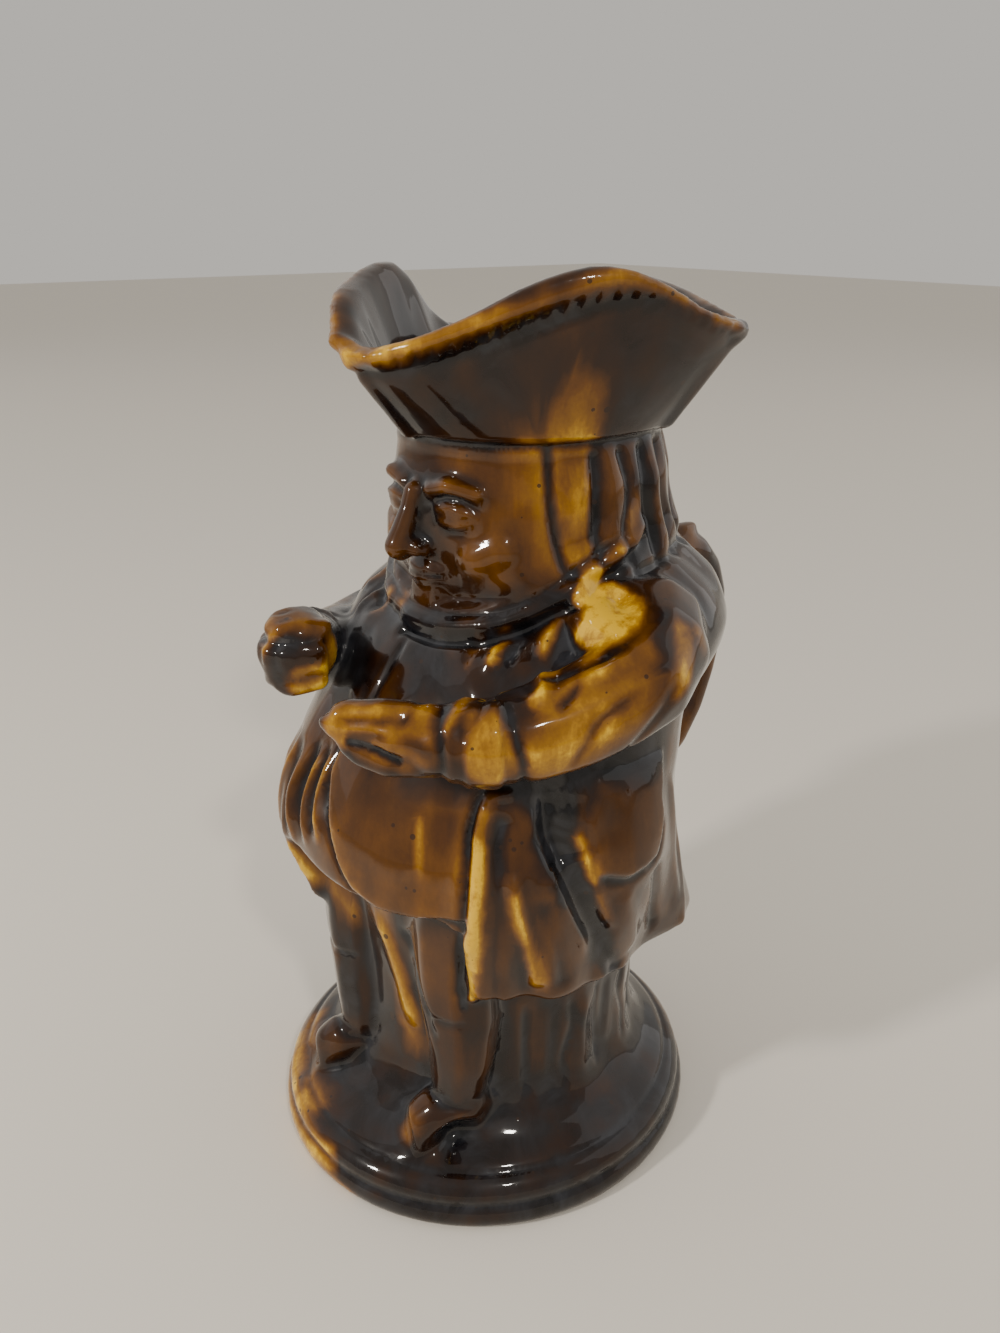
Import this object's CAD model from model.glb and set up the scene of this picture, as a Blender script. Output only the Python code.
# A treacle-glazed toby jug: a stout man in a cocked hat, moulded hollow, with a loop handle behind.
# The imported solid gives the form. This script carves the fine relief, glazes it and lights it.
import bpy
import math
import numpy as np
from mathutils import Matrix, Vector, noise
from mathutils.bvhtree import BVHTree


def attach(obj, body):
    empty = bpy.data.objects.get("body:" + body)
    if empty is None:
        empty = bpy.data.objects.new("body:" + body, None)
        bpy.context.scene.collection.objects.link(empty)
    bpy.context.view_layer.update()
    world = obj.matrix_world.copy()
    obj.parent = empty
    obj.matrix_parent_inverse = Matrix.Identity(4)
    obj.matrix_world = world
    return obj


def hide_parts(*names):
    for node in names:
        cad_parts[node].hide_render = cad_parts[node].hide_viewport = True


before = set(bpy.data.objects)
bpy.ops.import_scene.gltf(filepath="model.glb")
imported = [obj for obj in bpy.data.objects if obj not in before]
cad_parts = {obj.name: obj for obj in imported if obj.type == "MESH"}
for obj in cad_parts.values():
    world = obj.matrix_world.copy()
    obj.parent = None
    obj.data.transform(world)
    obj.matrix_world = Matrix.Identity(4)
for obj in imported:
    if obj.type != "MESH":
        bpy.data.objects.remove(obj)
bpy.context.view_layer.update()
mm = 0.001


def say(text):
    print("toby jug:", text)


def selectOnly(*objects):
    bpy.ops.object.select_all(action='DESELECT')
    for item in objects:
        item.select_set(True)
    bpy.context.view_layer.objects.active = objects[0]


jugSettings = {
    "firstVoxel": 1.15 * mm,  # the body is remeshed at this size
    "fineVoxel": 0.8 * mm,    # and once more at this one, with its lumps of clay
    "softenBody": 9,          # passes that round off the facets
    "softenFine": 3,          # passes that blend the lumps in
    "mostTriangles": 190000,
    "waistcoatHeight": 1.4,   # millimetres that the waistcoat stands proud
    "pocketHeight": 1.1,      # and the pocket flaps
    "ridgeGain": 0.30,        # how much thinner the glaze is on a ridge
    "hollowGain": 0.75,       # and how much thicker in a hollow
    "ragged": 0.55,           # how far the edges of the glaze runs wander, as a share of their width
}


def copyNode(nodeName, pieceName):
    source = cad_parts[nodeName]
    piece = bpy.data.objects.new(pieceName, source.data.copy())
    bpy.context.scene.collection.objects.link(piece)
    piece.data.materials.clear()
    selectOnly(piece)
    bpy.ops.object.mode_set(mode='EDIT')
    bpy.ops.mesh.select_all(action='SELECT')
    bpy.ops.mesh.remove_doubles(threshold=0.00001)
    bpy.ops.object.mode_set(mode='OBJECT')
    return piece


def applyModifier(piece, kind, **values):
    modifier = piece.modifiers.new(kind.lower(), kind)
    for key, value in values.items():
        setattr(modifier, key, value)
    selectOnly(piece)
    bpy.ops.object.modifier_apply(modifier=modifier.name)


def readPoints(piece):
    points = np.empty(len(piece.data.vertices) * 3, np.float64)
    piece.data.vertices.foreach_get("co", points)
    return points.reshape(-1, 3) / mm


def writePoints(piece, points):
    piece.data.vertices.foreach_set("co", (points * mm).astype(np.float32).ravel())
    piece.data.update()


def readNormals(piece):
    normals = np.empty(len(piece.data.vertices) * 3, np.float64)
    piece.data.vertices.foreach_get("normal", normals)
    return normals.reshape(-1, 3)


def readEdges(piece):
    edges = np.empty(len(piece.data.edges) * 2, np.int64)
    piece.data.edges.foreach_get("vertices", edges)
    return edges.reshape(-1, 2)


def spread(values, edges, passes):
    # averages a value, or a vector, over neighbouring points
    a, b = edges[:, 0], edges[:, 1]
    count = len(values)
    degree = np.maximum(np.bincount(a, minlength=count) + np.bincount(b, minlength=count), 1)
    out = values.astype(np.float64).reshape(count, -1).copy()
    for _ in range(passes):
        columns = []
        for column in out.T:
            ahead = np.bincount(a, weights=column[b], minlength=count)
            behind = np.bincount(b, weights=column[a], minlength=count)
            columns.append(ahead + behind)
        out = 0.5 * out + 0.5 * np.stack(columns, axis=1) / degree[:, None]
    return out.reshape(values.shape)


def clouds(points, size, seed):
    # a smooth random value at each point, about -1 to 1, in clouds of the given size in millimetres
    shift = Vector((seed, 2 * seed, 0))
    return np.array([2 * noise.noise(Vector(p) / size + shift) for p in points.tolist()])


def mirrored(places):
    return [(-place[0], *place[1:]) for place in places]


# Lumps of clay are strings of balls, which the remesh fuses with the body.

def addBeads(name, strings):
    # each string is a list of (x, y, z, radius), filled in with balls along the way
    bpy.ops.object.select_all(action='DESELECT')
    bpy.ops.mesh.primitive_ico_sphere_add(subdivisions=3, radius=1)
    ball = bpy.context.object
    ballPoints = np.array([v.co[:] for v in ball.data.vertices])
    ballFaces = np.array([p.vertices[:] for p in ball.data.polygons])
    bpy.data.objects.remove(ball)
    points, faces = [], []
    for string in strings:
        for start, end in zip(string[:-1], string[1:]):
            start, end = np.array(start, float), np.array(end, float)
            length = np.linalg.norm(end[:3] - start[:3])
            steps = max(2, int(length / (0.22 * min(start[3], end[3]))) + 1)
            for t in np.linspace(0, 1, steps):
                x, y, z, radius = start + (end - start) * t
                faces.append(ballFaces + len(points) * len(ballPoints))
                points.append(ballPoints * radius + (x, y, z))
    mesh = bpy.data.meshes.new(name)
    mesh.from_pydata((np.concatenate(points) * mm).tolist(), [], np.concatenate(faces).tolist())
    lump = bpy.data.objects.new(name, mesh)
    bpy.context.scene.collection.objects.link(lump)
    return lump


def fuse(piece, *lumps):
    selectOnly(piece, *lumps)
    bpy.ops.object.join()


def leftHandLumps():
    # a flat hand with its fingers together, and the thumb below them
    fingers = [
        [(36, -47, 154.0, 4.2), (29, -55, 155.2, 3.9), (22.5, -60.5, 154.6, 3.1)],
        [(36, -48, 151.2, 4.2), (29, -56.5, 152.4, 3.9), (21.8, -62, 151.8, 3.1)],
        [(36, -48, 148.6, 3.9), (29.5, -57, 149.4, 3.5), (24, -61, 149.6, 2.8)],
    ]
    thumb = [(39, -47, 145.4, 4.4), (32.5, -55, 144.8, 3.8), (27, -59, 146.0, 3.1), (24.5, -60.5, 147.6, 2.7)]
    return fingers + [thumb]


def fistLumps():
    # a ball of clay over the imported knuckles, and the thumb folded under it
    palm = [(-28, -40, 151.5, 7.8), (-22, -45.5, 154.3, 9.2), (-18, -48.6, 155.3, 10.3)]
    thumb = [(-10.5, -47.5, 148.6, 2.8), (-13.5, -53.5, 147.6, 2.8), (-19.5, -56, 148.4, 2.4)]
    return [palm, thumb]


def shoulderLumps():
    # the cloth that joins the left sleeve to the collar
    return [[(37, 2, 168.5, 6.5), (44, 0, 165.5, 7.5), (51, -1, 162, 8)]]


def shoeLumps():
    left = [(29.5, -33, 30, 7.6), (27, -39, 27, 7.6), (25, -43.5, 24.5, 7.2), (24, -45.5, 22.5, 6.6)]
    right = [(-11.5, -37, 30, 7.4), (-15, -43, 27.5, 7.0), (-18.5, -46.5, 24.5, 6.4), (-19.5, -47.5, 22.5, 6)]
    return [left, right]


def faceLumps():
    # a calm, even face: brow, eye and nose heights follow the thirds between chin and hat
    nose = [(0, -23.5, 196.5, 2.6), (0, -25.0, 192, 2.5), (0, -27.2, 187, 2.9), (0, -29.0, 183.2, 3.3),
            (0, -27.5, 181.6, 2.7)]
    chin = [(-1.8, -17.3, 169.8, 5.4), (1.8, -17.3, 169.8, 5.4)]
    mouth = [(-7, -13.2, 175.8, 6.6), (0, -15.6, 175.6, 7.2), (7, -13.2, 175.8, 6.6)]
    upperLip = [(-6.6, -20.2, 175.5, 1.2), (-2.2, -22.3, 176.9, 1.5), (2.2, -22.3, 176.9, 1.5),
                (6.6, -20.2, 175.5, 1.2)]
    lowerLip = [(-5.8, -20.2, 174.4, 1.2), (0, -22.0, 173.5, 1.8), (5.8, -20.2, 174.4, 1.2)]
    nostril = [(3.2, -25.4, 182.6, 2.3), (4.0, -24.2, 182.0, 2.1)]
    eye = [(10.6, -18.1, 192.3, 4.3), (12.4, -17.6, 192.3, 4.3)]
    brow = [(5.0, -22.6, 197.6, 1.6), (11.5, -21.8, 199.4, 1.9), (18, -17.6, 197.6, 1.5)]
    cheek = [(15, -13.4, 181, 7.0), (19, -10.6, 183.5, 7.0)]
    leftSide = [nostril, eye, brow, cheek]
    rightSide = [mirrored(string) for string in leftSide]
    return [nose, chin, mouth] + rightSide + leftSide + [upperLip, lowerLip]


# Carving is done by strokes along the surface, ridges and grooves.

strokeReach = 2.4       # a stroke is felt up to this many of its widths away


def axisAt(height):
    # the body leans back above the waist
    return 15 * np.clip((height - 122) / 38, 0, 1)


def smoothStep(t):
    t = np.clip(t, 0, 1)
    return t * t * (3 - 2 * t)


def outlineDistance(flat, corners):
    # signed distance to a closed outline: below zero inside it
    best = np.full(len(flat), 1e9)
    inside = np.zeros(len(flat), bool)
    for a, b in zip(corners, np.roll(corners, -1, axis=0)):
        d = b - a
        t = np.clip((flat - a) @ d / max(float(d @ d), 1e-9), 0, 1)
        best = np.minimum(best, np.linalg.norm(flat - a - t[:, None] * d, axis=1))
        crosses = (a[1] > flat[:, 1]) != (b[1] > flat[:, 1])
        at = a[0] + (flat[:, 1] - a[1]) * d[0] / (d[1] if abs(d[1]) > 1e-9 else 1e-9)
        inside ^= crosses & (flat[:, 0] < at)
    return np.where(inside, -best, best)


class Surface:
    # The piece's points while it is carved, in millimetres. A place is (x, y, z) or (angle, height), with the
    # angle in degrees from the front towards the figure's left.
    def __init__(self, piece):
        self.piece = piece
        self.points = readPoints(piece)
        self.edges = readEdges(piece)
        self.refresh()

    def refresh(self):
        writePoints(self.piece, self.points)
        self.normals = spread(readNormals(self.piece), self.edges, 6)
        self.normals /= np.linalg.norm(self.normals, axis=1)[:, None] + 1e-9
        self.tree = BVHTree.FromObject(self.piece, bpy.context.evaluated_depsgraph_get())

    def spot(self, angle, height):
        # the outermost point of the jug at an angle and a height
        a = math.radians(angle)
        centre = Vector((0, axisAt(height), height))
        out = Vector((math.sin(a), -math.cos(a), 0))
        outside, hatRadius = 160, 52
        hit = self.tree.ray_cast((centre + out * outside) * mm, -out, 150 * mm)[0]
        if hit is None:           # over the lip of the hat
            return self.nearest(*(centre + out * hatRadius))
        return np.array(hit) / mm

    def nearest(self, x, y, z):
        return np.array(self.tree.find_nearest(Vector((x, y, z)) * mm)[0]) / mm

    def along(self, places, step=1.5):
        # a smooth path on the surface through the places
        spots = [self.spot(*p) if len(p) == 2 else self.nearest(*p) for p in places]
        path = [spots[0]]
        for placeA, placeB, spotA, spotB in zip(places[:-1], places[1:], spots[:-1], spots[1:]):
            count = max(1, int(np.linalg.norm(spotB - spotA) / step))
            for t in np.arange(1, count + 1) / count:
                if len(placeA) == 2 and len(placeB) == 2:
                    path.append(self.spot(*(a + (b - a) * t for a, b in zip(placeA, placeB))))
                else:
                    path.append(self.nearest(*(spotA + (spotB - spotA) * t)))
        path = np.array(path)
        for _ in range(4):
            path[1:-1] = 0.25 * path[:-2] + 0.5 * path[1:-1] + 0.25 * path[2:]
        return path

    def distance(self, path, reach):
        # distance of each near point to the path, and how far along the path it is, 0 to 1
        low, high = path.min(0) - reach, path.max(0) + reach
        near = np.where(np.all((self.points > low) & (self.points < high), axis=1))[0]
        best = np.full(len(near), 1e9)
        where = np.zeros(len(near))
        spots = self.points[near]
        segments = max(len(path) - 1, 1)
        for i in range(segments):
            a = path[i]
            d = (path[i + 1] - a) if len(path) > 1 else np.zeros(3)
            t = np.clip((spots - a) @ d / max(float(d @ d), 1e-9), 0, 1)
            gap = np.linalg.norm(spots - a - t[:, None] * d, axis=1)
            closer = gap < best
            best[closer] = gap[closer]
            where[closer] = (i + t[closer]) / segments
        inside = best < reach
        return near[inside], best[inside], where[inside]

    def stroke(self, places, width, height, fade=0.0):
        # a ridge, or a groove where the height is below zero
        near, gap, where = self.distance(self.along(places), width * strokeReach)
        amount = height * np.exp(-(gap / width) ** 2)
        if fade > 0:
            amount *= np.clip(where / fade, 0, 1) * np.clip((1 - where) / fade, 0, 1)
        self.points[near] += self.normals[near] * amount[:, None]

    def strokeSide(self, side, places, width, height, fade=0.0):
        # a stroke on the figure's left, or its mirror image where the side is -1
        self.stroke(places if side > 0 else mirrored(places), width, height, fade)

    def band(self, places, half, height, edge=1.2):
        # a raised strip, flat across and stepped at its edges
        near, gap, _ = self.distance(self.along(places), half + edge)
        amount = height * smoothStep((half + edge * 0.5 - gap) / edge)
        self.points[near] += self.normals[near] * amount[:, None]

    def panel(self, outline, height, edge):
        # raises an area whose outline is given as (angle, height) corners
        angle, level, radius = self.polar()
        corners = np.array(outline)
        low, high = corners.min(0) - (8, 5), corners.max(0) + (8, 5)
        inside = (radius > 24) & (angle > low[0]) & (angle < high[0]) & (level > low[1]) & (level < high[1])
        near = np.where(inside)[0]
        scale = math.radians(1) * 50          # millimetres to a degree, at the coat
        flat = np.stack([angle[near] * scale, level[near]], axis=1)
        amount = height * smoothStep(0.5 - outlineDistance(flat, corners * (scale, 1)) / edge)
        self.points[near] += self.normals[near] * amount[:, None]

    def grab(self, place, reach, shift):
        # pulls the clay near a place by (x, y, z)
        near, gap, _ = self.distance(np.array([place], float), reach)
        self.points[near] += (1 - (gap / reach) ** 2)[:, None] ** 2 * np.array(shift)

    def soften(self, place, reach, passes=15):
        # smooths the clay round a place
        near, gap, _ = self.distance(np.array([place], float), reach)
        inside = np.zeros(len(self.points), bool)
        inside[near] = True
        smooth = spread(self.points, self.edges[inside[self.edges].all(axis=1)], passes)
        self.points[near] += (smooth[near] - self.points[near]) * (1 - (gap / reach) ** 2)[:, None]

    def polar(self):
        x, y = self.points[:, 0], self.points[:, 1] - axisAt(self.points[:, 2])
        return np.degrees(np.arctan2(x, -y)), self.points[:, 2], np.hypot(x, y)


# the lip of the hat, in three runs between its corners
lipRuns = [
    [(-6, 231), (10, 230.5), (22, 233), (38, 237.5), (55, 242), (71, 246), (86, 247), (99, 243), (113, 237)],
    [(-6, 231), (-20, 238), (-45, 243), (-76, 245), (-92, 237), (-106, 227)],
    [(125, 236), (145, 238), (180, 242), (215, 238), (240, 231), (253, 226)],
]


def carveHat(surface):
    for run in lipRuns:
        surface.stroke([(a, h + 1.5) for a, h in run], 2.0, 0.8)       # the rolled lip
        surface.stroke([(a, h - 4.2) for a, h in run], 1.6, -0.6)      # the hollow under its trimming
        for spot in surface.along([(a, h - 1.2) for a, h in run], 3.4)[1:-1]:    # slanting nicks in it
            surface.stroke([tuple(spot + (0.7, -0.3, 1.4)), tuple(spot - (0.7, -0.3, 2.2))], 0.95, -0.26)
    surface.stroke([(-1, 228), (-1, 218), (-2, 211)], 2.6, 1.6)        # the crease under the spout
    surface.stroke([(118, 234), (119, 222), (121, 212)], 2.8, 1.8)     # and under each back corner
    surface.stroke([(-109, 226), (-112, 218), (-118, 211)], 2.8, 1.8)
    surface.stroke([(a, 209.2) for a in range(-180, 181, 12)], 1.1, -1.2)   # where the hat sits on the head


def carveFace(surface):
    surface.grab((0, -25.5, 175), 6.5, (0, 1.3, 0))
    surface.soften((0, -22, 168), 6, 10)
    surface.soften((0, -22, 175), 8, 12)
    surface.stroke([(0, -26, 179.2), (0, -26, 177.4)], 1.1, -0.5)
    lips = [(-8.2, -20, 175.3), (-3, -24, 175.5), (0, -25, 175.0), (3, -24, 175.5), (8.2, -20, 175.3)]
    surface.stroke(lips, 0.8, -0.8)
    surface.stroke([(-4.5, -22, 170.9), (0, -23, 170.7), (4.5, -22, 170.9)], 1.7, -0.4, 0.1)
    for side in (-1, 1):
        carveEye(surface, side)
        wing = [(5.4, -25, 184.6), (6.6, -24, 182.4), (6.0, -24, 180.3), (4.2, -25, 179.6)]
        surface.strokeSide(side, wing, 1.0, -0.8)
        surface.strokeSide(side, [(2.2, -28, 180.2), (2.8, -27, 180.0)], 0.9, -0.9)      # the nostril
        surface.strokeSide(side, [(5.6, -24, 180.0), (8.6, -22, 177.6), (9.6, -20, 174.6)], 1.5, -0.3, 0.1)


def carveEye(surface, side):
    upperLid = [(6.2, -22, 192.0), (9, -23, 194.5), (12, -23, 195.1), (15, -21, 194.0), (17.6, -18, 191.6)]
    lidCrease = [(6.0, -21, 194.6), (9, -22, 196.7), (12, -22, 197.1), (15.5, -20, 196), (18.6, -17, 193.4)]
    lowerLid = [(6.6, -22, 191.2), (9, -22, 189.3), (12, -22, 188.7), (15, -20, 189.6), (17.4, -18, 191.2)]
    underUpperLid = [(7.2, -22, 191.7), (9, -23, 193.2), (12, -23, 193.8), (15, -21, 192.9),
                     (16.8, -19, 191.6)]
    overLowerLid = [(7.2, -22, 191.5), (9.2, -23, 190.4), (12, -23, 190.0), (15, -21, 190.6),
                    (16.8, -19, 191.5)]
    surface.strokeSide(side, [(5.2, -22, 193.6), (6, -21, 190)], 1.5, -0.7)              # the inner corner
    surface.strokeSide(side, upperLid, 0.85, 0.75, 0.08)
    surface.strokeSide(side, lidCrease, 0.9, -0.75, 0.1)
    surface.strokeSide(side, lowerLid, 0.85, 0.55, 0.08)
    surface.strokeSide(side, [(6.8, -22, 187.8), (11, -22, 186.6), (16, -19, 187.8)], 1.2, -0.5, 0.2)
    surface.strokeSide(side, underUpperLid, 0.6, -0.55)
    surface.strokeSide(side, overLowerLid, 0.6, -0.45)


def carveHair(surface):
    for side in (-1, 1):
        for i, angle in enumerate((76, 90, 104, 119, 134, 150, 166)):
            sway = 3 * math.sin(i * 1.9)
            parting = [(angle, 206), (angle + sway, 196), (angle - sway, 187), (angle + 2, 178)]
            surface.strokeSide(side, parting, 1.4, -1.1)
            middle = angle + 7.5
            lock = [(middle, 205), (middle + sway, 195), (middle - sway, 184)]
            surface.strokeSide(side, lock, 3.0, 1.0)
            for shift in (-3.2, 3.0):
                strand = middle + shift
                strandPlaces = [(strand, 205), (strand + sway, 195), (strand - sway, 183)]
                surface.strokeSide(side, strandPlaces, 0.8, -0.35, 0.2)
        surface.strokeSide(side, [(55, 208), (56, 197), (58, 188), (62, 180)], 1.3, -1.0)
        surface.strokeSide(side, [(65, 206), (66, 196), (69, 186)], 4.5, 1.1, 0.35)
        nape = [(66, 178), (78, 177), (100, 177.5), (125, 179), (160, 180), (179, 180)]
        surface.strokeSide(side, nape, 1.6, -1.3)


def carveChest(surface):
    # lapels and folds run down from the neckcloth to the arms
    for side in (-1, 1):
        surface.strokeSide(side, [(61, 170), (56, 165), (49, 159)], 1.9, 1.2, 0.2)
        surface.strokeSide(side, [(60, 164), (57, 161), (54, 158)], 1.3, -0.9, 0.25)
        surface.strokeSide(side, [(52, 166), (46, 163), (41, 159), (39, 153)], 1.4, -1.2, 0.2)
        surface.strokeSide(side, [(42, 165), (38, 161), (35, 155), (34, 151)], 1.6, 1.1, 0.2)
        surface.strokeSide(side, [(31, 163), (29, 158), (28, 152)], 1.2, -0.8, 0.2)
        surface.strokeSide(side, [(20, 160), (14, 150), (10, 140)], 1.6, 0.7, 0.2)
    surface.stroke([(0, 160), (0, 148), (-3, 136)], 1.2, -0.9, 0.2)
    # the neckcloth: a roll between two grooves
    leftCollar = [(100, 184), (84, 179), (68, 173.5), (53, 167), (38, 162.5), (14, 159.5)]
    collar = leftCollar + mirrored(leftCollar)[::-1]
    surface.stroke(collar, 1.3, -1.4)
    surface.stroke([(angle, height + 3.4) for angle, height in collar], 2.0, 1.0)
    surface.stroke([(angle, height + 6.6) for angle, height in collar[1:-1]], 1.1, -0.8)


def carveCoat(surface):
    # waistcoat: a smooth panel over the belly, grooves round it, and the seam and flap of its pocket
    waistcoat = [(-5, 137), (-6, 124), (0, 114), (7, 106), (13, 100), (22, 97.5), (33, 98), (45, 100),
                 (45, 112), (46, 137)]
    surface.panel(waistcoat, jugSettings["waistcoatHeight"], 1.6)
    surface.stroke([(-6.5, 136), (-7.5, 124), (-1.5, 113.5), (5.5, 105), (12, 98.5)], 1.2, -1.0)
    surface.stroke([(12, 98.5), (22, 95.5), (33, 96), (45, 98)], 1.3, -1.4)
    surface.stroke([(32, 123), (33, 117), (33.5, 110)], 1.2, 0.7, 0.15)
    surface.stroke([(29, 124.5), (37, 125.3), (44, 126)], 1.1, 0.45, 0.15)
    carveLeftFront(surface)
    carveRightFront(surface)
    carveBack(surface)
    hem = [(47, 71.5), (60, 69.5), (75, 68), (90, 66.5), (105, 65), (120, 64), (140, 63), (160, 62.5),
           (180, 62.5)]
    surface.stroke(hem, 1.2, 0.8)
    surface.stroke(mirrored(hem), 1.2, 0.8)


# the outline of a pocket flap on the coat
flap = [(78, 132), (78, 120), (79.5, 108.5), (88, 105.5), (99, 107), (103, 117), (103, 132)]


def carveLeftFront(surface):
    # the coat's edge, folded back at its top, between two grooves
    surface.stroke([(46, 129), (46.2, 118), (45.6, 106), (44, 88), (43, 72)], 1.3, -1.1)
    surface.stroke([(48.5, 128), (48.8, 116), (48, 104), (46.6, 88), (46, 71)], 2.2, 1.7)
    surface.stroke([(48, 129.5), (51, 131), (55, 131)], 1.2, 0.9, 0.1)
    surface.stroke([(54, 124), (54, 108), (53, 90), (53, 73)], 2.3, -1.1)
    # a second long fold
    surface.stroke([(56, 113), (58, 103), (61, 92), (65, 76)], 2.2, 1.5, 0.08)
    surface.stroke([(64, 106), (68, 92), (72, 74)], 2.3, -0.8, 0.1)
    # a deep hollow fold, widest under the arm, with a ridge on each side
    surface.stroke([(64, 131), (67, 124), (69.5, 116), (72, 109), (77, 97.5), (84, 84), (91, 72)], 3.6, -2.6)
    surface.stroke([(66.5, 130), (69, 120), (72, 112)], 5.5, -1.6, 0.1)
    surface.stroke([(61, 127), (64.5, 117), (67.5, 108.5), (73, 97), (80, 83)], 1.6, 0.7, 0.1)
    surface.stroke([(75, 120), (76.5, 112), (80, 101), (86, 88)], 1.6, 0.8, 0.1)
    # the pocket flap, the shadow under it, and the folds behind
    surface.panel(flap, jugSettings["pocketHeight"], 2.2)
    surface.stroke([(79, 107), (88, 103.5), (100, 105.5), (104.5, 116)], 1.6, -0.8, 0.1)
    surface.stroke([(88, 101), (92, 90), (99, 76)], 3.0, 0.8, 0.1)
    surface.stroke([(102, 102), (108, 88), (114, 72)], 2.2, -1.2, 0.1)
    surface.stroke([(112, 124), (117, 105), (124, 84), (127, 70)], 3.0, 1.0, 0.1)


def foldPlaces(top, foot):
    # a fold of the right front hangs a little to the side at its middle
    return [top, ((top[0] + foot[0]) / 2 - 3, (top[1] + foot[1]) / 2), foot]


def carveRightFront(surface):
    # gathered in short folds round the belly
    folds = [((-9, 130), (-3, 105)), ((-16, 128), (-10, 101)), ((-24, 126), (-19, 97)),
             ((-33, 126), (-30, 90)), ((-43, 124), (-42, 84)), ((-54, 122), (-56, 78)),
             ((-66, 118), (-70, 72))]
    for top, foot in folds:
        fold = foldPlaces(top, foot)
        surface.stroke(fold, 1.8, 1.5, 0.25)
        surface.stroke([(angle - 4.5, height) for angle, height in fold], 1.4, -1.2, 0.2)
    surface.panel(mirrored(flap), jugSettings["pocketHeight"], 2.2)


def carveBack(surface):
    # a vent between the two skirts, and pleats beside it
    surface.stroke([(180, 92), (180, 78), (180, 64)], 1.8, -2.2)
    for side in (-1, 1):
        surface.strokeSide(side, [(165, 96), (162, 80), (160, 64)], 2.6, 1.0)
        surface.strokeSide(side, [(150, 104), (146, 84), (143, 66)], 2.0, -1.4)
        surface.strokeSide(side, [(134, 110), (130, 88), (128, 68)], 2.4, 1.1)


def carveSleeves(surface):
    # turned-back cuffs, and creases where the arm bends
    surface.soften((42, -44, 158), 9, 25)
    surface.band([(47, -40, 158), (51, -43, 153), (51, -42, 146), (45, -38, 140)], 4.2, 0.9, 1.6)
    surface.stroke([(40, -45, 158), (45, -50, 153), (46, -50, 147), (41, -46, 141)], 1.1, -0.9)
    surface.stroke([(50, -35, 159.5), (55.5, -37, 154), (57, -36, 147), (51, -31, 140)], 1.1, -0.9)
    surface.stroke([(49, -25, 162), (52, -20, 163.2), (54, -14, 165), (58, -7, 168)], 1.1, -0.9, 0.2)
    # the left elbow
    surface.stroke([(55, -22, 161), (58, -14, 164), (60, -5, 167)], 2.0, 0.7, 0.2)
    surface.stroke([(65, -7, 161), (62, -19, 155), (57, -25, 146)], 1.3, -0.7, 0.25)
    surface.stroke([(67, 4, 163), (68, -4, 154), (62, -12, 143)], 1.4, -0.7, 0.25)
    # the right cuff and elbow
    surface.stroke([(-31, -39, 160), (-39, -44, 152), (-37, -38, 143)], 1.2, -1.2)
    surface.stroke([(-35, -34, 160), (-43, -38, 152), (-42, -32, 142)], 1.6, 0.8)
    surface.stroke([(-57, -2, 153), (-58, -12, 146), (-50, -16, 136)], 1.3, -0.9, 0.25)
    surface.soften((45, 0, 173), 9, 30)         # the top of the left shoulder is smooth


def carveHands(surface):
    # the groove over the thumb of the flat hand, then those between its fingers
    thumbGroove = [(25.5, -62, 149.6), (30, -60, 149.6), (35, -57.5, 148.2), (38, -55, 146.6)]
    surface.stroke(thumbGroove, 0.9, -1.1, 0.1)
    surface.stroke([(23, -62, 153.6), (30, -58, 154.8), (37, -52.5, 155.5)], 0.8, -0.35, 0.2)
    surface.stroke([(23, -62.5, 151.2), (30, -60, 152), (36.5, -56, 152.2)], 0.8, -0.3, 0.2)
    # fingers of the fist, side by side with their knuckles on top
    for x, y in ((-26.5, -51.5), (-23.2, -55.5), (-18.8, -58), (-13.5, -57)):
        groove = [(x + 5, y + 7, 168), (x, y, 163), (x - 0.5, y - 1, 157), (x + 0.5, y, 151)]
        surface.stroke(groove, 1.0, -0.42, 0.12)
    surface.soften((-18, -55, 151), 7, 25)
    surface.soften((44, -46, 159), 5, 20)       # where the left hand comes out of its cuff


def carveLegs(surface):
    # the cloth between the legs, and grooves down the left one
    surface.stroke([(-2, -40, 80), (4, -40, 72), (9, -38, 57), (13, -37, 45)], 2.6, 1.3, 0.15)
    surface.stroke([(11, -39, 80), (16, -40, 71), (24, -42, 62), (29, -41, 53)], 2.0, -1.0, 0.1)
    surface.stroke([(39, -42, 96), (36, -40, 80), (37, -38, 66)], 1.4, -1.2, 0.1)
    # the bands of the breeches below the knees, and of the shoes at the ankles
    surface.stroke([(21, -42, 62), (29, -43, 60.5), (38, -39, 62)], 1.0, -0.7)
    surface.stroke([(-8, -44, 60), (-17, -46, 58.5), (-26, -42, 60)], 1.0, -0.7)
    surface.stroke([(22, -38, 33), (29, -41, 31), (36, -35, 32)], 0.9, -0.6)
    surface.stroke([(-4, -42, 32), (-12, -46, 31), (-19, -42, 32)], 0.9, -0.6)
    # the toes are drawn in and rounded
    surface.grab((19.5, -51, 20.5), 11, (6, 5.5, 2))
    surface.grab((-26, -53, 19), 10, (5, 4.5, 2))
    surface.grab((37, -39, 22), 9, (-6.5, 0, 0))
    surface.soften((24, -46, 21.5), 12, 160)
    surface.soften((-21, -49, 21.5), 11, 110)
    # bark on the stump
    for angle in (66, 84, 100, 118, 137, 156, 175, -60, -78, -97, -118, -140, -161):
        lean = 3 * math.sin(angle)
        surface.stroke([(angle, 60), (angle + lean, 48), (angle - lean, 36), (angle, 27)], 1.5, -0.9, 0.15)
        surface.stroke([(angle + 8, 58), (angle + 8 - lean, 44), (angle + 8, 30)], 2.0, 0.6, 0.2)


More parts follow.
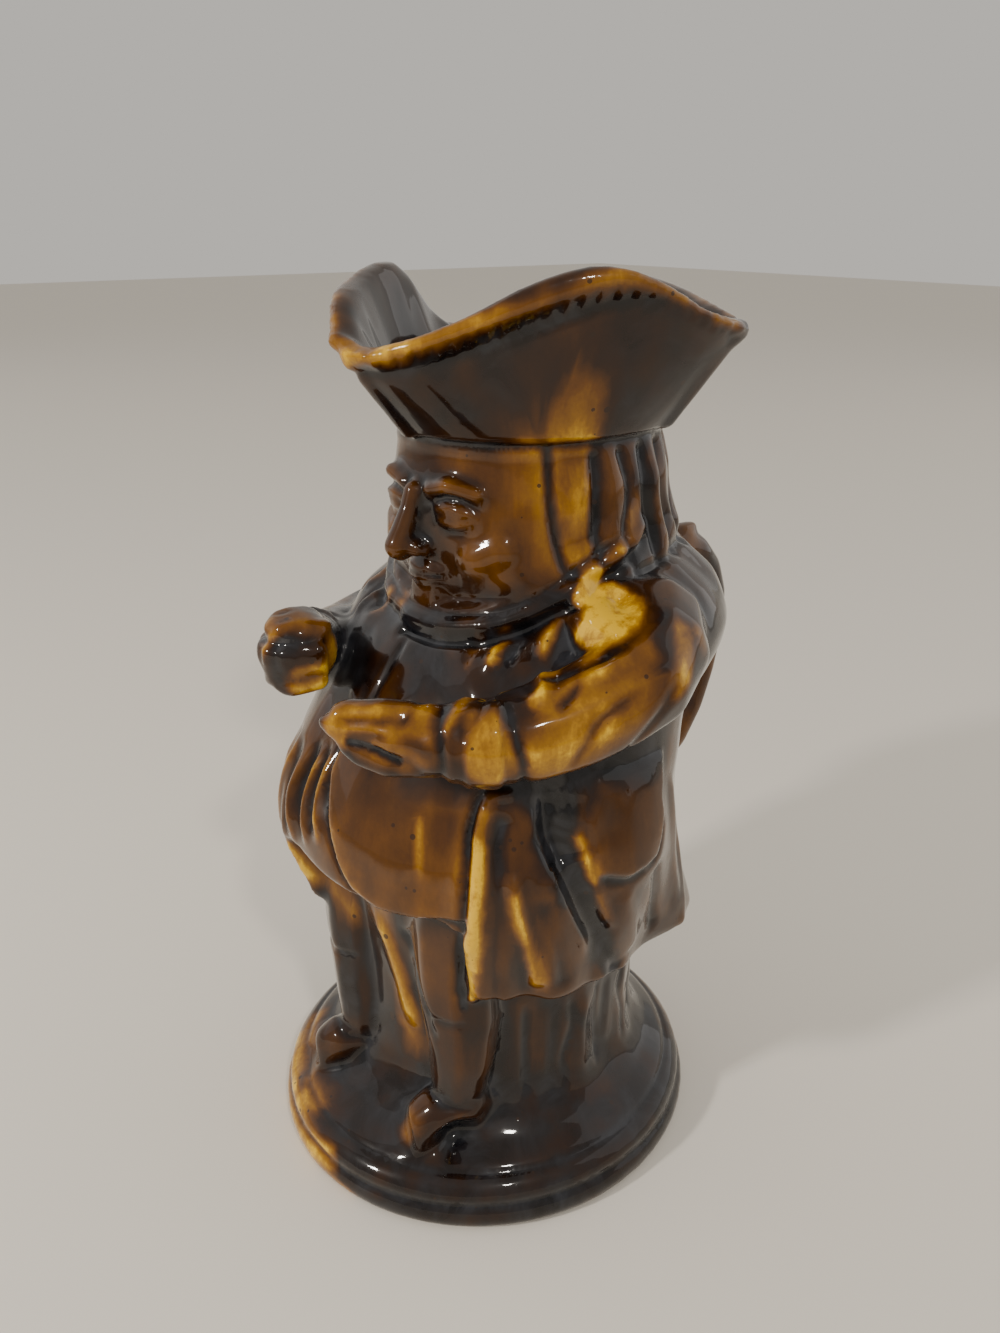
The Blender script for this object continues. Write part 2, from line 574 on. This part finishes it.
def carveFoot(surface):
    # two rings round the foot
    for height in (8.2, 15.2):
        surface.stroke([(a, height) for a in range(-180, 181, 6)], 0.9, -0.5)


# The glaze runs thin and honey coloured on the high places, and pools dark in the hollows. A thinness of 0 is
# near black, 0.45 is brown and 1 is pale honey.

# the ground by height: a dark foot, a brown coat, a dark chest, a brown head and a near-black hat
groundSteps = [(0, 0.12), (19, 0.14), (30, 0.23), (62, 0.24), (72, 0.36), (126, 0.38), (142, 0.22),
               (160, 0.16), (168, 0.26), (182, 0.36), (207, 0.36), (209.5, 0.14), (236, 0.20)]


class Glaze:
    # how thin the glaze is at each point of a surface
    def __init__(self, surface):
        self.surface = surface
        points = surface.points
        angle, level, _ = surface.polar()
        self.wander = 0.6 * clouds(points, 9, 3.1) + 0.4 * clouds(points, 3.5, 7.7)
        self.runs = clouds(points * (1, 1, 0.3), 5, 1.3)
        self.thin = np.interp(level, *zip(*groundSteps)) + 0.07 * self.wander + 0.05 * self.runs
        farSide = np.abs(angle) > 108
        self.thin += 0.10 * clouds(points, 30, 5.5) * farSide       # blotches

    def lay(self, places, width, amount, soft=1.0, ragged=jugSettings["ragged"]):
        # a patch or a run of one thinness, firm in the middle and ragged at its edge
        path = self.surface.along(places)
        near, gap, _ = self.surface.distance(path, width * strokeReach + 1)
        gap = gap + ragged * self.wander[near] * min(width, 4.0)
        share = smoothStep((width * (1 + 0.5 * soft) - gap) / (width * soft))
        self.thin[near] += (amount + 0.06 * self.runs[near] - self.thin[near]) * share

    def layBoth(self, places, width, amount, soft=1.0, ragged=jugSettings["ragged"]):
        self.lay(places, width, amount, soft, ragged)
        self.lay(mirrored(places), width, amount, soft, ragged)

    def pool(self):
        # thinner on ridges and thicker in hollows, fine and broad ones alike
        surface = self.surface
        fine = surface.points - spread(surface.points, surface.edges, 3)
        broad = surface.points - spread(surface.points, surface.edges, 14)
        fine, broad = (np.einsum('ij,ij->i', part, surface.normals) for part in (fine, broad))
        shape = np.clip(fine / 0.10, -1, 1) * 0.5 + np.clip(broad / 0.45, -1, 1) * 0.5
        shape = spread(shape, surface.edges, 2)
        gain = np.where(shape > 0, jugSettings["ridgeGain"], jugSettings["hollowGain"])
        self.thin += gain * shape * (0.12 + self.thin)


def glazeHat(glaze):
    # a yellow-brown lip, near-black panels, and a patch that ran down over the left temple
    for run in lipRuns:
        glaze.lay([(a, h + 1.2) for a, h in run], 2.6, 0.56, 1.2)
        glaze.lay([(a, h - 6) for a, h in run[1:-1]], 2.4, 0.16, 1.2)
    glaze.lay([(-2, 230), (14, 232)], 3.4, 0.66, 1.2)
    glaze.lay([(58, 236), (76, 232)], 9, 0.24, 1.2)
    glaze.lay([(59, 210), (61, 217), (64, 222)], 4.6, 0.66, 0.5)
    glaze.lay([(69, 210), (71, 217), (68, 224)], 4.2, 0.66, 0.5)
    glaze.lay([(36, 214), (40, 214)], 1.8, 0.5)
    glaze.lay([(-140, 212), (-136, 222)], 6, 0.5)
    glaze.lay([(165, 214), (160, 222)], 5, 0.55)


def glazeHead(glaze):
    # honey cheeks and hair at the temples, brown about the middle of the face
    glaze.layBoth([(49, 207), (52, 198), (48, 190), (47, 182)], 6.5, 0.72, 1.1)
    glaze.layBoth([(36, 188), (40, 182), (50, 179)], 6.5, 0.54, 2.0, 0.3)
    glaze.layBoth([(24, 204), (34, 203)], 4.5, 0.54)
    glaze.layBoth([(27, 184), (28, 182)], 4.0, 0.50, 1.8)
    glaze.lay([(0, 204), (0, 190)], 7, 0.30)
    glaze.lay([(-14, 172), (0, 174), (14, 172)], 5.0, 0.32)
    glaze.layBoth([(65, 208), (68, 200), (70, 192), (68, 184)], 4.6, 0.68, 0.8)
    glaze.layBoth([(56, 208), (57, 197), (60, 187)], 0.8, 0.36, 1.2)
    glaze.layBoth([(78, 209), (78, 196), (74, 187)], 1.5, 0.16, 1.2)
    glaze.layBoth([(86, 206), (84, 195)], 3.0, 0.40)
    glaze.layBoth([(99, 194), (92, 189), (84, 184)], 2.0, 0.72, 0.9)
    glaze.layBoth([(104, 206), (104, 194), (104, 182)], 3.2, 0.06, 0.9)
    glaze.layBoth([(118, 190), (116, 180)], 2.6, 0.60, 0.9)


def glazeNeckcloth(glaze):
    # dark, with a brown jaw above it
    roll = [(100, 182), (84, 180), (68, 175.5), (53, 170), (38, 165.5), (14, 162)]
    glaze.layBoth(roll, 2.8, 0.10, 1.0)
    glaze.lay([(14, 162), (-14, 162)], 2.8, 0.08)
    glaze.layBoth([(54, 178), (40, 173), (26, 169)], 2.4, 0.30, 1.2)


def glazeChest(glaze):
    # runs of honey along the lapels
    glaze.lay([(61, 169), (56, 165), (50, 160)], 2.1, 0.72, 0.9)
    glaze.lay([(60, 164), (56, 160)], 1.3, 0.20)
    glaze.lay([(41, 164), (37, 159), (35, 153)], 1.8, 0.66, 0.9)
    glaze.lay([(47, 164), (42, 159), (40, 153)], 1.6, 0.12)
    glaze.lay([(31, 162), (30, 157)], 1.4, 0.58)
    glaze.lay([(18, 165), (14, 155), (18, 148)], 5.0, 0.08)
    glaze.lay([(-11, 168), (-13, 162), (-14, 157)], 1.9, 0.66, 0.9)
    glaze.lay([(-24, 166), (-28, 158)], 2.0, 0.58, 0.9)
    glaze.lay([(-50, 166), (-56, 160)], 2.6, 0.55, 0.9)


def glazeLeftArm(glaze):
    # the sleeve is mottled honey
    glaze.lay([(64, -2, 164), (65, -14, 158), (61, -27, 151)], 9.0, 0.56)
    glaze.lay([(58, -16, 162), (55, -27, 158)], 4.0, 0.68, 1.2)
    glaze.lay([(63, -18, 153), (60, -30, 148)], 5.0, 0.70, 1.2)
    # the cuff and the hand
    glaze.lay([(50, -42, 155), (52, -42, 147)], 5.6, 0.66, 0.8)
    glaze.lay([(38, -50, 154), (31, -57, 153.5), (24, -61, 153)], 5.0, 0.70)
    glaze.lay([(38, -52, 148), (30, -58, 148)], 3.6, 0.62)
    # dark creases, behind the hand, at the cuff's edges, on the sleeve, over the thumb and under the arm
    glaze.lay([(42, -47, 155), (44, -49, 148)], 2.2, 0.34, 1.1)
    glaze.lay([(40, -45, 158), (45, -50, 153), (46, -50, 147), (41, -46, 141)], 0.9, 0.14)
    glaze.lay([(50, -35, 159.5), (55.5, -37, 154), (57, -36, 147)], 0.9, 0.20)
    glaze.lay([(50, -24, 162), (52, -20, 163.2), (54, -14, 165), (57, -6, 168)], 1.1, 0.22)
    glaze.lay([(26, -61, 149.6), (31, -60, 149.4), (37, -56, 147)], 0.8, 0.06)
    glaze.lay([(34, -58, 152), (27, -61.5, 151.5)], 0.8, 0.40, 1.2)
    glaze.lay([(66, 0, 148), (62, -16, 140), (51, -33, 138.5), (40, -45, 140)], 2.6, 0.16)
    # brown and dark about the elbow, and honey beside it
    glaze.lay([(67, -3, 164), (68, -5, 153), (66, -6, 147)], 2.6, 0.42, 1.1)
    glaze.lay([(50, -9, 166), (55, -14, 163)], 2.4, 0.72, 0.9)
    glaze.lay([(55, 8, 173), (61, 3, 169), (65, 0, 165)], 2.8, 0.14)
    glaze.lay([(61, 9, 171), (65, 8, 165), (68, 1, 159)], 2.4, 0.70, 0.8)
    glaze.lay([(62, 16, 168), (65, 17, 164)], 1.8, 0.55, 0.9)


def glazeRightArm(glaze):
    # dark, with a honey fist and shoulder
    glaze.lay([(-9, -43, 158), (-11, -45, 152), (-13, -50, 150)], 4.4, 0.76, 0.8)
    glaze.lay([(-20, -53, 162), (-12, -47, 163)], 5.0, 0.46)
    glaze.lay([(-24, -52, 158), (-25, -52, 152)], 4.0, 0.40)
    glaze.lay([(-24, -53, 149), (-18, -56, 147)], 3.4, 0.16, 1.2)
    glaze.lay([(-24, -32, 153), (-14, -38, 146)], 5.0, 0.06)
    glaze.lay([(-46, 14, 163), (-54, 4, 155)], 5.0, 0.60, 0.9)
    glaze.lay([(-50, -12, 150), (-44, -26, 150)], 4.0, 0.48, 0.9)


def glazeWaistcoat(glaze):
    # even brown, paler to the coat's side, with a pale edge and a pale pocket line
    glaze.lay([(4, 128), (12, 114), (20, 106)], 8.0, 0.37)
    glaze.lay([(20, 128), (26, 114), (32, 104)], 8.0, 0.41)
    glaze.lay([(38, 126), (39, 116), (40, 104)], 5.0, 0.47)
    glaze.lay([(-5, 134), (-5, 124), (1, 114), (7.5, 106), (13, 101), (19, 98.5)], 0.8, 0.62)
    glaze.lay([(32, 123), (33, 117), (33.5, 111)], 1.0, 0.76)
    glaze.lay([(10, 134), (40, 134)], 4.5, 0.16, 1.2)


def glazeLeftFront(glaze):
    # the groove along the coat's edge
    glaze.lay([(46, 129), (46.2, 118), (45.6, 106), (44, 88), (43, 72)], 0.8, 0.22, 1.2)
    # the long folds
    glaze.lay([(53, 126), (54, 108), (53, 90), (53, 74)], 4.0, 0.38)
    glaze.lay([(48.5, 127), (48.8, 120)], 1.2, 0.60)
    glaze.lay([(48.8, 118), (48.2, 106), (47, 92), (46.6, 86)], 2.7, 0.86, 0.9)
    glaze.lay([(46.6, 86), (46, 72)], 2.5, 0.76, 0.9)
    glaze.lay([(57, 106), (58, 100), (61, 92), (65, 76)], 1.7, 0.74)
    glaze.lay([(62, 88), (65, 77)], 2.6, 0.76, 0.9)
    glaze.lay([(68, 96), (71, 84), (75, 74)], 3.6, 0.36)
    # the deep fold
    glaze.lay([(64, 131), (67, 124), (69.5, 116), (72, 109), (77, 97.5), (84, 84), (91, 72)], 3.6, 0.0, 0.8)
    glaze.lay([(66, 131), (68.5, 119), (72, 109)], 6.4, 0.0, 0.5)
    glaze.lay([(76, 98), (84, 84)], 3.6, 0.0, 0.6)
    # the pocket flap and the coat behind it
    glaze.lay([(75.5, 118), (77, 113), (78.5, 108)], 2.2, 0.78, 0.9)
    glaze.lay([(80, 101), (83, 94)], 1.6, 0.62)
    glaze.lay([(84, 124), (92, 114)], 6.0, 0.34, 1.1)
    glaze.lay([(86, 104), (98, 105)], 1.4, 0.20)
    glaze.lay([(90, 96), (94, 84)], 5.5, 0.36)
    glaze.lay([(103, 98), (107, 84)], 3.0, 0.30, 0.9)
    glaze.lay([(114, 96), (118, 78)], 3.0, 0.44, 0.9)
    glaze.lay([(58, 135), (100, 135)], 6.0, 0.06, 1.2)


def glazeRightFront(glaze):
    # a run of honey down each gathered fold
    folds = [((-9, 126), (-4, 107), 0.66), ((-16, 124), (-12, 103), 0.70), ((-24, 120), (-20, 100), 0.5),
             ((-33, 122), (-31, 96), 0.62), ((-43, 118), (-42, 90), 0.55), ((-54, 112), (-56, 82), 0.66)]
    for top, foot, amount in folds:
        glaze.lay(foldPlaces(top, foot), 1.1, amount, 1.1)
    glaze.lay([(-28, 92), (-26, 84), (-20, 78), (-12, 72)], 3.0, 0.74, 0.9)
    glaze.lay([(-24, 74), (-22, 64)], 3.0, 0.10)
    glaze.lay([(-84, 120), (-84, 108)], 3.0, 0.62, 0.9)
    glaze.lay([(-100, 98), (-104, 80)], 4.5, 0.55, 0.9)


def glazeBack(glaze):
    # a few broad patches, and the handle
    glaze.lay([(-150, 150), (-158, 132)], 8.0, 0.5, 0.9)
    glaze.lay([(150, 96), (147, 78)], 3.0, 0.6, 0.9)
    glaze.lay([(-146, 100), (-142, 78)], 3.5, 0.66, 0.9)
    glaze.lay([(0, 84, 168), (0, 95, 156), (0, 98, 140)], 3.0, 0.5, 0.9)
    glaze.lay([(0, 93, 118), (0, 84, 100)], 3.0, 0.5, 0.9)


def glazeLegs(glaze):
    # a run of honey between the legs, and dark and brown on the left one
    glaze.lay([(9, 94), (2, 84), (5, 75), (10, 66), (14, 57), (19, 46), (23, 41)], 3.8, 0.76, 0.9)
    glaze.lay([(15, 92), (14, 80), (21, 71), (30, 63), (36, 54), (36, 46)], 1.9, 0.10, 1.1)
    glaze.lay([(31, 90), (36, 79), (38, 68)], 3.6, 0.33)
    glaze.lay([(38, 60), (40, 50), (38, 40)], 3.2, 0.26)
    glaze.lay([(44, 94), (43, 80), (44, 67)], 1.2, 0.08, 1.1)
    # both toes, then the right leg and its edge
    glaze.lay([(26, -44, 27), (23, -46, 22)], 3.8, 0.66)
    glaze.lay([(-20, -47, 26), (-22, -48, 22)], 3.0, 0.64)
    glaze.lay([(-13, -42, 66), (-11, -44, 54), (-9, -44, 44)], 3.6, 0.12)
    glaze.lay([(7, -38, 46), (12, -37, 42), (16, -37, 38)], 1.6, 0.80)
    # the stump
    glaze.lay([(66, 60), (68, 50), (70, 40)], 3.6, 0.36)
    glaze.lay([(84, 52), (94, 48)], 2.6, 0.06)
    # the foot: an orange patch in front, and one behind
    glaze.lay([(-56, 5), (-34, 7), (-16, 7), (2, 4)], 8.0, 0.74, 0.6)
    glaze.lay([(-48, 15), (-30, 16), (-10, 15)], 4.0, 0.66, 0.8)
    glaze.lay([(2, 2), (12, 2)], 3.0, 0.66, 0.8)
    glaze.lay([(-24, 18), (-8, 18)], 2.6, 0.40, 1.2)
    glaze.lay([(148, 8), (172, 9), (-170, 8)], 6.0, 0.5, 0.9)


def glazeLast(glaze):
    # laid over the hollows: first an even tone about the mouth, the chin and the cheeks
    glaze.lay([(-20, 178), (0, 176), (20, 178)], 5.0, 0.35, 1.4, 0.2)
    glaze.lay([(-20, 171), (0, 170), (20, 171)], 4.0, 0.33, 1.4, 0.2)
    glaze.lay([(-6.4, -20.6, 175.2), (0, -23, 175.0), (6.4, -20.6, 175.2)], 0.5, 0.14, 1.2, 0)
    glaze.layBoth([(32, 188), (36, 183)], 6.0, 0.50, 1.8, 0.2)
    # then the palest patch, on the left shoulder
    patchEdge = [(38, -1, 174), (39, 5, 178), (47, 6, 175), (53, 0, 171), (52, -7, 168), (44, -6, 167.5)]
    glaze.lay(patchEdge, 3.0, 0.96, 0.4, 0.15)
    glaze.lay([(42, 3, 176), (48, -2, 171)], 6.0, 0.98, 0.3, 0.15)


def addAttribute(piece, name, values):
    attribute = piece.data.attributes.new(name, 'FLOAT', 'POINT')
    attribute.data.foreach_set("value", values.astype(np.float32))


# glaze colours by thinness
glazeColours = [
    (0.00, (0.0024, 0.0025, 0.0036)),
    (0.15, (0.0070, 0.0031, 0.0020)),
    (0.30, (0.0240, 0.0075, 0.0012)),
    (0.45, (0.0600, 0.0200, 0.0012)),
    (0.62, (0.1200, 0.0430, 0.0014)),
    (0.80, (0.2250, 0.0980, 0.0024)),
    (0.90, (0.3700, 0.1850, 0.0050)),
    (1.00, (0.6400, 0.3800, 0.0160)),
]

glazeSettings = {
    "bloomColour": (0.040, 0.042, 0.050),     # where the glaze is thickest
    "speckColour": (0.02, 0.008, 0.003),
    "cloudScale": 85,                         # the larger, the finer, as in the next four
    "runScale": 260,
    "curdleScale": 950,
    "speckScale": 270,
    "waveScale": 95,
    "waveStrength": 0.08,
    "roughness": (0.22, 0.42),                # under the clear coat
    "coatRoughness": 0.05,
    "coatIor": 1.40,
}


class NodeMaker:
    # adds nodes to a material's tree, each linked to what it reads
    def __init__(self, tree):
        self.nodes = tree.nodes
        self.links = tree.links

    def noise(self, vector, scale, detail=3.0, roughness=0.55, distortion=0.0):
        texture = self.nodes.new("ShaderNodeTexNoise")
        texture.inputs["Scale"].default_value = scale
        texture.inputs["Detail"].default_value = detail
        texture.inputs["Roughness"].default_value = roughness
        texture.inputs["Distortion"].default_value = distortion
        self.links.new(vector, texture.inputs["Vector"])
        return texture.outputs["Fac"]

    def compute(self, operation, *values, clamp=False):
        node = self.nodes.new("ShaderNodeMath")
        node.operation = operation
        node.use_clamp = clamp
        for socket, value in zip(node.inputs, values):
            if isinstance(value, (int, float)):
                socket.default_value = value
            else:
                self.links.new(value, socket)
        return node.outputs[0]

    def mix(self, share, first, second):
        node = self.nodes.new("ShaderNodeMix")
        node.data_type = 'RGBA'
        self.links.new(share, node.inputs["Factor"])
        self.links.new(first, node.inputs["A"])
        node.inputs["B"].default_value = (*second, 1)
        return node.outputs["Result"]

    def ramp(self, value, steps):
        node = self.nodes.new("ShaderNodeValToRGB")
        while len(node.color_ramp.elements) < len(steps):
            node.color_ramp.elements.new(0.5)
        for element, (at, colour) in zip(node.color_ramp.elements, steps):
            element.position = at
            element.color = (*colour, 1)
        self.links.new(value, node.inputs["Fac"])
        return node.outputs["Color"]


def mottledThinness(maker, place, broad):
    # the stored thinness, mottled by broad clouds, downward runs and a fine curdle, most where it is thin
    stretch = maker.nodes.new("ShaderNodeMapping")
    stretch.inputs["Scale"].default_value = (1, 1, 0.22)
    maker.links.new(place, stretch.inputs["Vector"])
    thin = maker.nodes.new("ShaderNodeAttribute")
    thin.attribute_name = "glazeThin"
    thin = thin.outputs["Fac"]
    runs = maker.noise(stretch.outputs["Vector"], glazeSettings["runScale"], 4.0, 0.6, 0.3)
    curdle = maker.noise(place, glazeSettings["curdleScale"], 3.0, 0.6)
    mottle = maker.compute('MULTIPLY_ADD', broad, 0.60, maker.compute('MULTIPLY', runs, 0.55))
    mottle = maker.compute('MULTIPLY_ADD', curdle, 0.20, mottle)
    mottle = maker.compute('SUBTRACT', mottle, 0.675)
    gain = maker.compute('MULTIPLY_ADD', maker.compute('MULTIPLY', thin, thin), 0.75, 0.12)
    return maker.compute('MULTIPLY_ADD', mottle, gain, thin, clamp=True)


def bloomShare(maker, level, broad):
    # a grey-blue bloom in the thickest glaze
    thick = maker.compute('SUBTRACT', 0.26, level, clamp=True)
    bloom = maker.compute('MULTIPLY', thick, maker.compute('SUBTRACT', broad, 0.40, clamp=True))
    return maker.compute('MULTIPLY', bloom, 9.0, clamp=True)


def ironSpecks(maker, place):
    # dark specks of iron and small pits
    specks = maker.nodes.new("ShaderNodeTexVoronoi")
    specks.inputs["Scale"].default_value = glazeSettings["speckScale"]
    maker.links.new(place, specks.inputs["Vector"])
    sparse = maker.noise(place, 130, 1.0)
    size = maker.compute('MULTIPLY', maker.compute('SUBTRACT', sparse, 0.53, clamp=True), 1.2)
    return maker.compute('LESS_THAN', specks.outputs["Distance"], size)


def firedSurface(maker, place, speck):
    # the surface waves a little, as fired glaze does, and dips at the specks
    bump = maker.nodes.new("ShaderNodeBump")
    bump.inputs["Strength"].default_value = glazeSettings["waveStrength"]
    bump.inputs["Distance"].default_value = 0.0016
    waves = maker.noise(place, glazeSettings["waveScale"], 1.0, 0.4)
    maker.links.new(maker.compute('MULTIPLY_ADD', speck, -0.35, waves), bump.inputs["Height"])
    return bump.outputs["Normal"]


def makeGlaze():
    material = bpy.data.materials.new("treacle glaze")
    material.use_nodes = True
    maker = NodeMaker(material.node_tree)
    place = maker.nodes.new("ShaderNodeTexCoord").outputs["Object"]
    broad = maker.noise(place, glazeSettings["cloudScale"], 4.0, 0.6, 0.6)
    level = mottledThinness(maker, place, broad)
    bloom = bloomShare(maker, level, broad)
    colour = maker.mix(bloom, maker.ramp(level, glazeColours), glazeSettings["bloomColour"])
    speck = ironSpecks(maker, place)
    colour = maker.mix(maker.compute('MULTIPLY', speck, 0.8), colour, glazeSettings["speckColour"])
    normal = firedSurface(maker, place, speck)
    rough = maker.nodes.new("ShaderNodeMapRange")
    rough.inputs["To Min"].default_value = glazeSettings["roughness"][0]
    rough.inputs["To Max"].default_value = glazeSettings["roughness"][1]
    maker.links.new(broad, rough.inputs["Value"])
    shader = maker.nodes["Principled BSDF"]
    maker.links.new(colour, shader.inputs["Base Color"])
    maker.links.new(normal, shader.inputs["Normal"])
    maker.links.new(normal, shader.inputs["Coat Normal"])
    maker.links.new(rough.outputs["Result"], shader.inputs["Roughness"])
    shader.inputs["Specular IOR Level"].default_value = 0.05
    shader.inputs["Coat Weight"].default_value = 1.0
    shader.inputs["Coat Roughness"].default_value = glazeSettings["coatRoughness"]
    shader.inputs["Coat IOR"].default_value = glazeSettings["coatIor"]
    return material


def triangleCount(piece):
    return sum(len(polygon.vertices) - 2 for polygon in piece.data.polygons)


jug = copyNode("toby_jug", "jug_body")
say("clay copied")
applyModifier(jug, 'REMESH', mode='VOXEL', voxel_size=jugSettings["firstVoxel"])
applyModifier(jug, 'SMOOTH', factor=0.5, iterations=jugSettings["softenBody"])
say(f"body rounded, {len(jug.data.polygons)} faces")
lumps = leftHandLumps() + fistLumps() + shoulderLumps() + shoeLumps() + faceLumps()
fuse(jug, addBeads("lumps", lumps))
applyModifier(jug, 'REMESH', mode='VOXEL', voxel_size=jugSettings["fineVoxel"])
applyModifier(jug, 'SMOOTH', factor=0.5, iterations=jugSettings["softenFine"])
say(f"hands and face fused, {len(jug.data.polygons)} faces")

surface = Surface(jug)
for carving in (carveHat, carveFace, carveHair, carveChest, carveCoat, carveSleeves, carveHands, carveLegs,
                carveFoot):
    carving(surface)
    surface.refresh()
    say(carving.__name__)
writePoints(jug, spread(surface.points, surface.edges, 1))
applyModifier(jug, 'DECIMATE', ratio=min(1.0, jugSettings["mostTriangles"] / triangleCount(jug)))
selectOnly(jug)
bpy.ops.object.shade_smooth()
say(f"{triangleCount(jug)} triangles")

glaze = Glaze(Surface(jug))
for glazing in (glazeHat, glazeHead, glazeNeckcloth, glazeChest, glazeLeftArm, glazeRightArm, glazeWaistcoat,
                glazeLeftFront, glazeRightFront, glazeBack, glazeLegs):
    glazing(glaze)
glaze.pool()
glazeLast(glaze)
addAttribute(jug, "glazeThin", np.clip(spread(glaze.thin, glaze.surface.edges, 1), 0, 1))
jug.data.materials.append(makeGlaze())
say("glaze laid")

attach(jug, "root")
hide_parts("toby_jug")

# a pale floor under soft room light
roomSettings = {
    "floorSize": 8,                           # metres
    "floorColour": (0.74, 0.69, 0.61, 1),
    "wallColour": (0.88, 0.84, 0.78, 1),
    "wallStrength": 0.66,
}

floorMaterial = bpy.data.materials.new("pale floor")
floorMaterial.use_nodes = True
floorShader = floorMaterial.node_tree.nodes["Principled BSDF"]
floorShader.inputs["Base Color"].default_value = roomSettings["floorColour"]
floorShader.inputs["Roughness"].default_value = 0.6
bpy.ops.object.select_all(action='DESELECT')
bpy.ops.mesh.primitive_plane_add(size=roomSettings["floorSize"])
floor = bpy.context.object
floor.name = "floor"
floor.data.materials.append(floorMaterial)


def addLight(name, place, size, power, colour=(1, 1, 1)):
    data = bpy.data.lights.new(name, 'AREA')
    data.shape = 'RECTANGLE'
    data.size, data.size_y = size
    data.energy = power
    data.color = colour
    light = bpy.data.objects.new(name, data)
    light.location = place
    middle = Vector((0, 0, 0.12))
    light.rotation_euler = (middle - Vector(place)).to_track_quat('-Z', 'Y').to_euler()
    bpy.context.scene.collection.objects.link(light)


addLight("lamp", (-0.10, -1.05, 0.66), (0.09, 0.09), 9.5, (1, 0.95, 0.88))
addLight("second_lamp", (0.85, -0.35, 0.90), (0.08, 0.08), 4.5, (1, 0.95, 0.88))
addLight("window", (-1.3, -0.6, 1.0), (1.8, 1.8), 4, (0.94, 0.97, 1))
addLight("wall", (0.7, 1.3, 0.8), (2.2, 1.6), 6)
world = bpy.data.worlds.new("room")
bpy.context.scene.world = world
world.use_nodes = True
background = world.node_tree.nodes["Background"]
background.inputs["Color"].default_value = roomSettings["wallColour"]
background.inputs["Strength"].default_value = roomSettings["wallStrength"]

# the camera: its place in metres, its angles in degrees and its lens in millimetres
view = {"place": (0.2187, -0.1788, 0.2613), "heading": 50.0, "pitch": 22.7, "roll": 0.4, "lens": 29.7}
cameraData = bpy.data.cameras.new("camera")
cameraData.lens = view["lens"]
cameraData.sensor_fit = 'VERTICAL'
cameraData.sensor_height = 36
cameraData.clip_start = 0.01
camera = bpy.data.objects.new("camera", cameraData)
camera.location = view["place"]
heading, pitch, roll = (math.radians(view[key]) for key in ("heading", "pitch", "roll"))
levelReach = math.cos(pitch)
forward = Vector((-math.sin(heading) * levelReach, math.cos(heading) * levelReach, -math.sin(pitch)))
turn = forward.to_track_quat('-Z', 'Y').to_matrix().to_4x4()
camera.rotation_euler = (turn @ Matrix.Rotation(roll, 4, 'Z')).to_euler()
bpy.context.scene.collection.objects.link(camera)
bpy.context.scene.camera = camera
